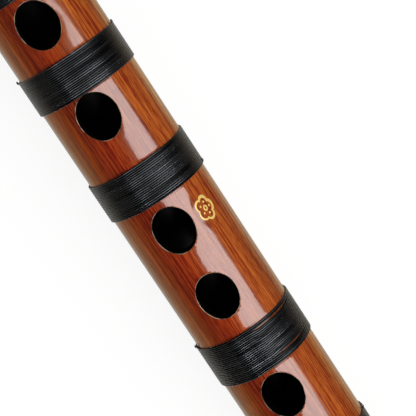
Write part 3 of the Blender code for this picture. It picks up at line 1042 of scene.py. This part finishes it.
def gap_shift(turn, degrees, gaps):
    """How far a turn stands off where the turns before it were not pushed tight."""
    shift = 0.0
    for place, width, first, last in gaps:
        if turn >= place:
            opened = smooth_step((degrees - first) / GAP_OPENS)
            shift += width * opened * smooth_step((last - degrees) / GAP_CLOSES)
    return shift


def over_tail(angle):
    """How much farther out a turn runs where it is stretched over the tail of the thread."""
    away = math.hypot(max(0.0, abs(angle - TAIL_ANGLE) - TAIL_HALF_WIDTH), TAIL_SOFTNESS)
    return 1 / math.cos(TAIL_REACH - away) if away < TAIL_REACH else 1.0


def add_attributes(piece):
    return [piece.data.attributes.new(name, "FLOAT", "POINT") for name in ("crown", "top")]


def shape_winding(piece, name, seed):
    """Makes the even helix uneven, as a hand winds it, and marks its crown and its top."""
    start, end = spans[name]
    gaps = GAPS.get(name, [])
    middle = tube_radius((start + end) / 2) + PROUD - THREAD / 2
    crown, top = add_attributes(piece)
    for vertex in piece.data.vertices:
        x, y, z = vertex.co
        angle = math.atan2(y, z)
        degrees = math.degrees(angle)
        share = (x - start) / (end - start)
        step = vertex.index // THREAD_SIDES
        travel = math.tau * step / TURN_POINTS - math.pi
        steady = min(1.0, STEADY_ENDS * share, STEADY_ENDS * (1 - share))
        x += wavering(travel, seed) * max(0.0, steady)
        x += gap_shift(step // TURN_POINTS, degrees, gaps) - gap_shift(math.inf, degrees, gaps) * share
        height = (math.hypot(y, z) - middle) / (THREAD / 2)
        lit = max(0.0, (height - CROWN_FROM) / (1 - CROWN_FROM))
        along = UNLIKE_ALONG * (x - start) / THREAD
        contrast = TURN_CONTRAST * unlike(along, UNLIKE_ROUND * angle, 10 * seed)
        # Painted highlight: the crown, and with it colour and shine, is raised in a band beside the tail.
        painted_glint = 1 + PAINTED_GLINT * math.exp(-(((degrees - PAINTED_GLINT_AT) / PAINTED_GLINT_SPREAD) ** 2))
        # The end turns of a binding keep some crown all round, so they are painted lighter and shinier.
        outer = OUTER_CROWN if min(x - start, end - x) < THREAD / 2 else 0.0
        usual = max(LEAST_CROWN, USUAL_CROWN + contrast)
        crown.data[vertex.index].value = max(outer, lit * usual * painted_glint)
        top.data[vertex.index].value = smooth_step((height - TOP_FROM) / (1 - TOP_FROM))
        vertex.co = round_axis(x, math.hypot(y, z) * over_tail(angle), angle)


def loose_end(x, angle):
    """The cut end of the thread, which sticks out of the winding in a small curl."""
    deselect()
    bpy.ops.mesh.primitive_circle_add(vertices=END_SIDES, radius=THREAD / 2, fill_type="NGON")
    stub = bpy.context.active_object
    bpy.ops.object.mode_set(mode="EDIT")
    for _ in range(END_STEPS):
        bpy.ops.mesh.extrude_region_move(TRANSFORM_OT_translate={"value": (0, 0, THREAD)})
    bpy.ops.object.mode_set(mode="OBJECT")
    along = Vector((1, 0, 0))
    outward = Vector((0, math.sin(angle), math.cos(angle)))
    side = along.cross(outward)
    foot = round_axis(x, tube_radius(x) + PROUD - THREAD / 2, angle)
    crown, top = add_attributes(stub)
    for index, vertex in enumerate(stub.data.vertices):
        bend = END_BEND * (index // END_SIDES) / END_STEPS
        turn = math.tau * (index % END_SIDES) / END_SIDES
        spread = END_CURL + math.cos(turn) * THREAD / 2
        arc = along * (spread * math.cos(bend) - END_CURL) + outward * spread * math.sin(bend)
        vertex.co = foot + arc + side * math.sin(turn) * THREAD / 2
        crown.data[index].value = END_CROWN
        top.data[index].value = 1.0
    return stub


def wound(name, seed, body):
    start, end = spans[name]
    turns = round((end - start) / THREAD)
    reach = tube_radius((start + end) / 2) + PROUD - THREAD
    deselect()
    bpy.ops.mesh.primitive_circle_add(
        vertices=THREAD_SIDES, radius=THREAD / 2, rotation=(math.pi / 2, 0, 0)
    )
    piece = named(name.replace("binding", "thread"))
    bpy.ops.object.transform_apply(rotation=True)
    flat = THREAD_CROWN / (THREAD / 2)
    for vertex in piece.data.vertices:
        x, y, z = vertex.co
        depth = z * (flat if z > 0 else 2 - flat) - THREAD / 2 + THREAD_CROWN
        vertex.co = (start + THREAD / 2 + x * SQUEEZED, 0, -reach - THREAD / 2 - depth)
    screw = piece.modifiers.new("winding", "SCREW")
    screw.axis = "X"
    screw.angle = math.tau
    screw.screw_offset = (end - start - THREAD) / (turns - 1)
    screw.iterations = turns - 1
    screw.steps = screw.render_steps = TURN_POINTS
    screw.use_merge_vertices = False
    bpy.ops.object.modifier_apply(modifier=screw.name)
    bpy.ops.object.mode_set(mode="EDIT")
    bpy.ops.mesh.select_all(action="DESELECT")
    bpy.ops.mesh.select_non_manifold()
    bpy.ops.mesh.edge_face_add()
    face_outwards()
    shape_winding(piece, name, seed)
    for share, degrees in LOOSE_ENDS.get(name, []):
        stub = loose_end(start + (end - start) * share, math.radians(degrees))
        pick(piece)
        stub.select_set(True)
        bpy.ops.object.join()
    piece.data.materials.append(THREAD_BLACK)
    smooth(SOFT_CREASE)
    set_in_frame(piece, body, name)
    print(turns, "turns")


for seed, name in enumerate(HEAD_BINDINGS + FOOT_BINDINGS):
    wound(name, seed, "head_section" if name in HEAD_BINDINGS else "foot_section")

# %% [markdown]
# Things made on a lathe share one effect: fine rings left by the tool. They lie across the axis, so the
# noise depends on the place along the flute only. The group gives them as a height and as a mask, and the
# ivory, the brass and the rubber each decide how much of it they show.

# %% The marks of the lathe as a node group
lathe = bpy.data.node_groups.new("lathe_marks", "ShaderNodeTree")
takes, gives = add_sockets(lathe, {"Spacing": 0.15 * MM}, ["Rings", "Patches"])
along = maths(lathe, "DIVIDE", parted(lathe, place_on_piece(lathe))["X"], takes["Spacing"])
marks = {"W": along, "Scale": 1.0, "Detail": 2.0}
marks = add_node(lathe, "ShaderNodeTexNoise", marks, noise_dimensions="1D").outputs["Fac"]
lathe.links.new(marks, gives["Rings"])
lathe.links.new(spots(lathe, 260.0, 3.0), gives["Patches"])
print("group", lathe.name)

# %% [markdown]
# Ivory-coloured resin lets a little light in, so it gets some subsurface scattering. The brass was
# polished once and has dulled in patches, the rubber is plain and matt, and the gilding is gold powder in
# a clear binder, so it is only partly metallic and has flakes of two golds.

# %% Ivory resin, brass, rubber and gilding
def lathe_marks(tree, spacing):
    return add_node(tree, "ShaderNodeGroup", {"Spacing": spacing}, node_tree=lathe).outputs


def ivory_resin():
    made, tree = new_material("ivory_resin")
    marks = lathe_marks(tree, 0.30 * MM)
    cream = mix_colour(tree, marks["Patches"], (0.72, 0.62, 0.44, 1), (0.80, 0.73, 0.58, 1))
    finish_principled(tree, {
        "Base Color": mix_colour(tree, times(tree, marks["Rings"], 0.25), cream, (0.66, 0.53, 0.34, 1)),
        "Roughness": 0.22,
        "Subsurface Weight": 0.25,
        "Subsurface Radius": (0.9, 0.6, 0.35),
        "Subsurface Scale": 1.2 * MM,
        "Normal": bumped(tree, marks["Rings"], 0.004 * MM, 0.4),
    })
    return made


def brass():
    made, tree = new_material("brass")
    marks = lathe_marks(tree, 0.12 * MM)
    finish_principled(tree, {
        "Base Color": mix_colour(tree, marks["Patches"], (0.72, 0.48, 0.18, 1), (0.86, 0.64, 0.30, 1)),
        "Metallic": 1.0,
        "Roughness": plus(tree, times(tree, marks["Patches"], 0.16), 0.14),
        "Normal": bumped(tree, marks["Rings"], 0.003 * MM, 0.5),
    })
    return made


def black_rubber():
    made, tree = new_material("black_rubber")
    marks = lathe_marks(tree, 0.2 * MM)
    colour = mix_colour(tree, marks["Patches"], (0.012, 0.012, 0.012, 1), (0.030, 0.029, 0.028, 1))
    finish_principled(tree, {"Base Color": colour, "Roughness": 0.55})
    return made


def gilding():
    made, tree = new_material("gilding")
    flakes = spots(tree, 3500.0, 2.0)
    finish_principled(tree, {
        "Base Color": mix_colour(tree, flakes, (1.0, 0.52, 0.06, 1), (1.0, 0.86, 0.30, 1)),
        "Metallic": 0.3,
        "Roughness": 0.42,
        "Coat Weight": 0.5,
        "Coat Roughness": 0.1,
    })
    return made


IVORY = ivory_resin()
BRASS = brass()
RUBBER = black_rubber()
GILT = gilding()
print("finishes for the fittings ready")

# %% [markdown]
# The end rings are turned from resin the colour of ivory. Each has a rounded lip, two fine grooves near
# either edge and a low bead between them, and a sleeve that hides the turned-down end of the bamboo. The
# outline is written once, as steps inward from the outer face, and used for both ends.

# %% Turn the end rings
RING_RADIUS = AXIS_HEIGHT
MOUTH_RADIUS = 7.6 * MM
MOUTH_CHAMFER = 0.25 * MM
LIP_ROUNDING = 0.9 * MM
BACK_ROUNDING = 0.6 * MM
RING_FLANGE = 2.0 * MM
SLEEVE_CLEARANCE = 0.1 * MM
GROOVES_IN_FRONT = (2.1 * MM, 3.0 * MM)
GROOVES_BEHIND = (9.0 * MM, 9.9 * MM)
GROOVE_DEPTH = 0.38 * MM
GROOVE_HALF = 0.22 * MM
WAIST = RING_RADIUS - 0.30 * MM
BEAD_AT = 6.0 * MM
BEAD_RADIUS = 1.65 * MM
BEAD_SUNK = 1.35 * MM
BEAD_ARC = (165, 15, 12)
STEP_DOWN = (3.7 * MM, 4.0 * MM, 4.4 * MM)
STEP_UP = (7.6 * MM, 8.0 * MM, 8.3 * MM)
RING_CREASE = 40
ROUND_STEPS = 7


def rounded(centre_x, centre_r, size, first, last, steps=ROUND_STEPS):
    """Points on an arc round a corner, angles in degrees from the x direction."""
    turns = [math.radians(first + (last - first) * step / steps) for step in range(steps + 1)]
    return [(centre_x + size * math.cos(turn), centre_r + size * math.sin(turn)) for turn in turns]


def grooves(depths):
    """Grooves with round floors, from (offset, sink) pairs in halves of their width and in depths."""
    profile = [(-1, 0), (-0.45, 0.8), (0, 1), (0.45, 0.8), (1, 0)]
    return [
        (depth + offset * GROOVE_HALF, RING_RADIUS - sink * GROOVE_DEPTH)
        for depth in depths
        for offset, sink in profile
    ]


def end_ring(name, outer_face, inward, length, body):
    """A turned ring. inward is 1 where the flute lies towards +X of its outer face, or -1."""
    sleeve = tube_radius(outer_face + inward * length) - RING_COVER + SLEEVE_CLEARANCE
    steps = [(0.0, MOUTH_RADIUS + MOUTH_CHAMFER)]
    steps += rounded(LIP_ROUNDING, RING_RADIUS - LIP_ROUNDING, LIP_ROUNDING, 180, 90)
    steps += grooves(GROOVES_IN_FRONT)
    steps += zip(STEP_DOWN, (RING_RADIUS, WAIST, WAIST))
    steps += rounded(BEAD_AT, WAIST - BEAD_SUNK, BEAD_RADIUS, *BEAD_ARC)[1:-1]
    steps += zip(STEP_UP, (WAIST, WAIST, RING_RADIUS))
    steps += grooves(GROOVES_BEHIND)
    steps += rounded(length - BACK_ROUNDING, RING_RADIUS - BACK_ROUNDING, BACK_ROUNDING, 90, 0)
    steps += [(length, sleeve), (RING_FLANGE, sleeve)]
    steps += [(RING_FLANGE, MOUTH_RADIUS), (MOUTH_CHAMFER, MOUTH_RADIUS)]
    outline = [(outer_face + inward * depth, reach) for depth, reach in steps]
    ring = turned(f"ivory_{name}", outline, crease=RING_CREASE)
    ring.data.materials.append(IVORY)
    set_in_frame(ring, body, name)


end_ring("head_end_ring", head_ring_low.x, 1, head_ring_high.x - head_ring_low.x, "head_section")
end_ring("foot_end_ring", foot_ring_high.x, -1, foot_ring_high.x - foot_ring_low.x, "foot_section")

# %% [markdown]
# The slide is a brass tube glued in the head section and a thinner liner glued in the foot section. Each
# has a collar that shows between the two lengths of bamboo: a flat band with a fine line turned in it and
# edges broken by the lathe. A rubber ring in a groove holds the two together by friction.

# %% Turn the slide and its seal
COLLAR_LENGTH = 4.0 * MM
COLLAR_PROUD = 0.4 * MM
COLLAR_CORNER = 0.18 * MM
BROKEN_EDGE = 0.3 * COLLAR_CORNER
LINE_HALF = 0.14 * MM
LINE_DEPTH = 0.16 * MM
TENON_RADIUS = 8.1 * MM
TENON_CHAMFER = 0.3 * MM
SOCKET_RADIUS = 8.4 * MM
SOCKET_OUTSIDE = 8.9 * MM
SOCKET_CHAMFER = (0.2 * MM, 0.1 * MM)
SEAL_ROOM = 0.2 * MM
SEAL_FLOOR = 7.6 * MM
SEAL_INSIDE, SEAL_OUTSIDE = 7.8 * MM, 8.2 * MM
SEAL_STEPS = 8
seal_low, seal_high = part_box("seal_ring")


def collar(start, radius):
    """The outer side of a collar, from its first corner to its last, with a turned line."""
    end = start + COLLAR_LENGTH
    middle = (start + end) / 2
    low, broken = radius - COLLAR_CORNER, radius - BROKEN_EDGE
    points = [(start, low), (start + BROKEN_EDGE, broken), (start + COLLAR_CORNER, radius)]
    points += [(middle - LINE_HALF, radius), (middle, radius - LINE_DEPTH), (middle + LINE_HALF, radius)]
    points += [(end - COLLAR_CORNER, radius), (end - BROKEN_EDGE, broken), (end, low)]
    return points


def brass_or_rubber(node, outline, finish, body, slot):
    piece = turned(f"{slot}_{node}", outline)
    piece.data.materials.append(finish)
    set_in_frame(piece, body, node)


tenon_collar = head_high.x + SEAT_CLEARANCE
collar_face = tenon_collar + COLLAR_LENGTH
collar_radius = tube_radius(collar_face) + COLLAR_PROUD
groove_start, groove_end = seal_low.x - SEAL_ROOM, seal_high.x + SEAL_ROOM
outline = [(tenon_low.x, BORE_RADIUS), (tenon_low.x, TENON_RADIUS), (tenon_collar, TENON_RADIUS)]
outline += collar(tenon_collar, collar_radius)
outline += [(collar_face, TENON_RADIUS), (groove_start, TENON_RADIUS), (groove_start, SEAL_FLOOR)]
outline += [(groove_end, SEAL_FLOOR), (groove_end, TENON_RADIUS)]
outline += [(tenon_high.x - TENON_CHAMFER, TENON_RADIUS), (tenon_high.x, TENON_RADIUS - TENON_CHAMFER)]
outline += [(tenon_high.x, BORE_RADIUS)]
brass_or_rubber("tenon", outline, BRASS, "head_section", "brass")

liner_face = socket_low.x
outline = [(liner_face, SOCKET_RADIUS + SOCKET_CHAMFER[1])] + collar(liner_face, collar_radius)
outline += [(liner_face + COLLAR_LENGTH, SOCKET_OUTSIDE), (socket_high.x, SOCKET_OUTSIDE)]
outline += [(socket_high.x, SOCKET_RADIUS), (liner_face + SOCKET_CHAMFER[0], SOCKET_RADIUS)]
brass_or_rubber("socket", outline, BRASS, "foot_section", "brass")

seal_middle = (seal_low.x + seal_high.x) / 2
seal_half = (seal_high.x - seal_low.x) / 2
cheek = (SEAL_OUTSIDE - SEAL_INSIDE) / 2
outline = rounded(seal_middle - seal_half + cheek, SEAL_INSIDE + cheek, cheek, 270, 90, SEAL_STEPS)
outline += rounded(seal_middle + seal_half - cheek, SEAL_INSIDE + cheek, cheek, 90, -90, SEAL_STEPS)
brass_or_rubber("seal_ring", outline, RUBBER, "seal", "black_rubber")

# %% [markdown]
# The cork closes the bore beside the blow hole. Real cork is full of small dark pores that run across it,
# and its cut edge is a little ragged, so the points of the turned plug are nudged by noise before its
# material adds the pores.

# %% Cut the cork
CORK_RADIUS = 6.9 * MM
CORK_CHAMFER = 0.8 * MM
CORK_SIDES = 64
CORK_CREASE = 50
CORK_SPACING = 0.8 * MM
CORK_FACE_SPACING = 1.2 * MM
CORK_RAGGED = 0.05 * MM
CORK_CELLS = 0.9 * MM
CORK_CORE = 2 * MM
CORK_PORES = [(0.06, 1.0), (0.20, 0.0)]


def cork_material():
    made, tree = new_material("cork")
    mottle = spots(tree, 700.0, 5.0)
    cells = {"Vector": place_on_piece(tree), "Scale": 620.0}
    cells = add_node(tree, "ShaderNodeTexVoronoi", cells).outputs["Distance"]
    pores = ramp(tree, cells, CORK_PORES)
    body = mix_colour(tree, mottle, (0.30, 0.15, 0.06, 1), (0.60, 0.38, 0.19, 1))
    height = maths(tree, "SUBTRACT", mottle, times(tree, pores, 0.7))
    finish_principled(tree, {
        "Base Color": mix_colour(tree, times(tree, pores, 0.8), body, (0.10, 0.045, 0.02, 1)),
        "Roughness": 0.85,
        "Normal": bumped(tree, height, 0.08 * MM, 0.6),
    })
    return made


cork_low, cork_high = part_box("stopper")
edge = CORK_RADIUS - CORK_CHAMFER
sides = evenly(cork_low.x + CORK_CHAMFER, cork_high.x - CORK_CHAMFER, CORK_SPACING)
outline = [(cork_low.x, reach) for reach in evenly(0, edge, CORK_FACE_SPACING)]
outline += [(x, CORK_RADIUS) for x in sides]
outline += [(cork_high.x, reach) for reach in evenly(edge, 0, CORK_FACE_SPACING)]
cork = turned("cork_plug", outline, CORK_SIDES, CORK_CREASE)
edit_all()
bpy.ops.mesh.delete_loose()
bpy.ops.object.mode_set(mode="OBJECT")
for vertex in cork.data.vertices:
    ragged = CORK_RAGGED * (unlike(*(vertex.co / CORK_CELLS)) - 1)
    reach, angle = from_axis(vertex.co)
    if reach > CORK_CORE:
        vertex.co = round_axis(vertex.co.x, reach + ragged, angle)
cork.data.materials.append(cork_material())
set_in_frame(cork, "cork", "stopper")

# %% [markdown]
# The membrane is the thin skin from inside a reed. It is glued wet and pulled lengthwise, which leaves it
# full of fine creases across the flute over the hole, and that is what gives the dizi its buzz. A grid is
# laid on the tube, creased, and given a little thickness.

# %% Glue the membrane
MEMBRANE_HALF_ARC = 6.75 * MM
MEMBRANE_MARGIN = 0.2 * MM
MEMBRANE_LIFT = 0.14 * MM
MEMBRANE_THICKNESS = 0.02 * MM
MEMBRANE_CLEAR = 0.48
SKIN_FINE = (150, 60)
VEINS = (0.35 * MM, 30, 3.0, 0.6, 0.9)
CREASED_LENGTH, CREASED_WIDTH, CREASES_END = 5.4 * MM, 5.0 * MM, 1.6
CREASE_HEIGHT = 0.11 * MM
CREASE_PITCH = 0.62 * MM
CREASE_WANDER = 0.6
EDGE_WANDER = 0.035


def reed_skin():
    made, tree = new_material("reed_membrane")
    veins = streaks(tree, *VEINS)
    colour = mix_colour(tree, veins, (0.70, 0.62, 0.44, 1), (0.86, 0.82, 0.70, 1))
    skin = {"Base Color": colour, "Roughness": 0.28, "Transmission Weight": 0.35, "IOR": 1.3}
    skin = add_node(tree, "ShaderNodeBsdfPrincipled", skin).outputs[0]
    clear = add_node(tree, "ShaderNodeBsdfTransparent", {"Color": (0.95, 0.90, 0.78, 1)}).outputs[0]
    finish_material(tree, mix_shaders(tree, MEMBRANE_CLEAR, skin, clear))
    return made


membrane_low, membrane_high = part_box("membrane")
membrane_middle = (membrane_low.x + membrane_high.x) / 2
membrane_half = (membrane_high.x - membrane_low.x) / 2 - MEMBRANE_MARGIN
deselect()
bpy.ops.mesh.primitive_grid_add(x_subdivisions=SKIN_FINE[0], y_subdivisions=SKIN_FINE[1], size=2)
skin = named("reed_skin")
for vertex in skin.data.vertices:
    u, v, flat = vertex.co
    wavy = EDGE_WANDER * unlike(3 * u, 4 * v, 0)
    x = membrane_middle + membrane_half * (u + wavy * abs(v))
    from_middle = math.hypot(u * membrane_half / CREASED_LENGTH, v * MEMBRANE_HALF_ARC / CREASED_WIDTH)
    wander = CREASE_WANDER * unlike(9 * u, 2.5 * v, 1)
    crease = smooth_step(CREASES_END - from_middle) * math.sin(math.tau * (x / CREASE_PITCH + wander))
    reach = tube_radius(x) + MEMBRANE_LIFT + CREASE_HEIGHT * crease
    vertex.co = round_axis(x, reach, v * MEMBRANE_HALF_ARC / tube_radius(x))
thick = skin.modifiers.new("thickness", "SOLIDIFY")
thick.thickness = MEMBRANE_THICKNESS
bpy.ops.object.modifier_apply(modifier=thick.name)
smooth(SOFT_CREASE)
skin.data.materials.append(reed_skin())
set_in_frame(skin, "head_section", "membrane")

# %% [markdown]
# A blossom of five petals is cut into the lacquer beside the third finger hole and filled with gold. Its
# edge is one scalloped stroke, which swells and thins on its way round as a graver's does, with a small
# ring and five dots for the stamens. Every stroke starts as a flat disc that is inset twice: its inner
# face is taken out, and the middle line is raised, so that the stroke has two slopes that catch the light.

# %% Gild the blossom
BLOSSOM_STRETCH = 1.22
PETALS = 5
PETAL_TIP = 2.25 * MM
PETAL_NOTCH = 0.26
PETAL_ROUNDNESS = 0.55
PETAL_TURN = math.radians(16)
EDGE_STROKE = 0.46 * MM
STROKE_SWELL = 0.30
RING_SIZE, RING_STROKE = 0.52 * MM, 0.28 * MM
DOT_PLACE, DOT_SIZE, DOT_STROKE = 1.06 * MM, 0.20 * MM, 0.19 * MM
EDGE_POINTS, RING_POINTS, DOT_POINTS = 100, 20, 12
HALF_STROKE = 0.25
GILT_HEIGHT = 0.06 * MM
GILT_SEAT = 0.012 * MM


def laid_on_tube(u, v, height):
    """A point of the flat drawing, u along the flute and v across it, laid on the lacquer."""
    x = MARK_X + u * BLOSSOM_STRETCH
    angle = MARK_ANGLE + v / tube_radius(x)
    return round_axis(x, tube_radius(x) + height - hollow(x, angle), angle)


def stroked(points, centre, edge, stroke):
    """An outlined shape round a centre. edge and stroke give its reach and its stroke for a turn."""
    deselect()
    bpy.ops.mesh.primitive_circle_add(vertices=points, radius=1, fill_type="NGON")
    piece = bpy.context.active_object
    edit_all()
    bpy.ops.mesh.inset(thickness=HALF_STROKE)
    bpy.ops.mesh.inset(thickness=HALF_STROKE)
    bpy.ops.mesh.delete(type="FACE")
    bpy.ops.object.mode_set(mode="OBJECT")
    for vertex in piece.data.vertices:
        x, y, z = vertex.co
        inward = (1 - math.hypot(x, y)) / (2 * HALF_STROKE)
        turn = math.atan2(y, x)
        reach = edge(turn) - inward * stroke(turn)
        lift = GILT_HEIGHT * (1 - abs(2 * inward - 1)) + GILT_SEAT
        u, v = reach * math.cos(turn), reach * math.sin(turn)
        vertex.co = laid_on_tube(centre[0] + u, centre[1] + v, lift)
    return piece


def petal_reach(turn):
    """The scalloped edge: five round lobes that meet in notches."""
    lobe = abs(math.cos(PETALS * (turn - PETAL_TURN) / 2))
    return PETAL_TIP * (1 - PETAL_NOTCH * (1 - lobe**PETAL_ROUNDNESS))


def petal_stroke(turn):
    return EDGE_STROKE * (1 + STROKE_SWELL * math.sin(turn - PETAL_TURN))


strokes = [stroked(EDGE_POINTS, (0, 0), petal_reach, petal_stroke)]
strokes.append(stroked(RING_POINTS, (0, 0), lambda turn: RING_SIZE, lambda turn: RING_STROKE))
for petal in range(PETALS):
    turn = PETAL_TURN + math.tau * petal / PETALS
    centre = (DOT_PLACE * math.cos(turn), DOT_PLACE * math.sin(turn))
    strokes.append(stroked(DOT_POINTS, centre, lambda turn: DOT_SIZE, lambda turn: DOT_STROKE))
pick(strokes[0])
for stroke in strokes:
    stroke.select_set(True)
bpy.ops.object.join()
blossom = named("gilt_blossom")
face_outwards()
smooth(SOFT_CREASE)
blossom.data.materials.append(GILT)
set_in_frame(blossom, "foot_section")
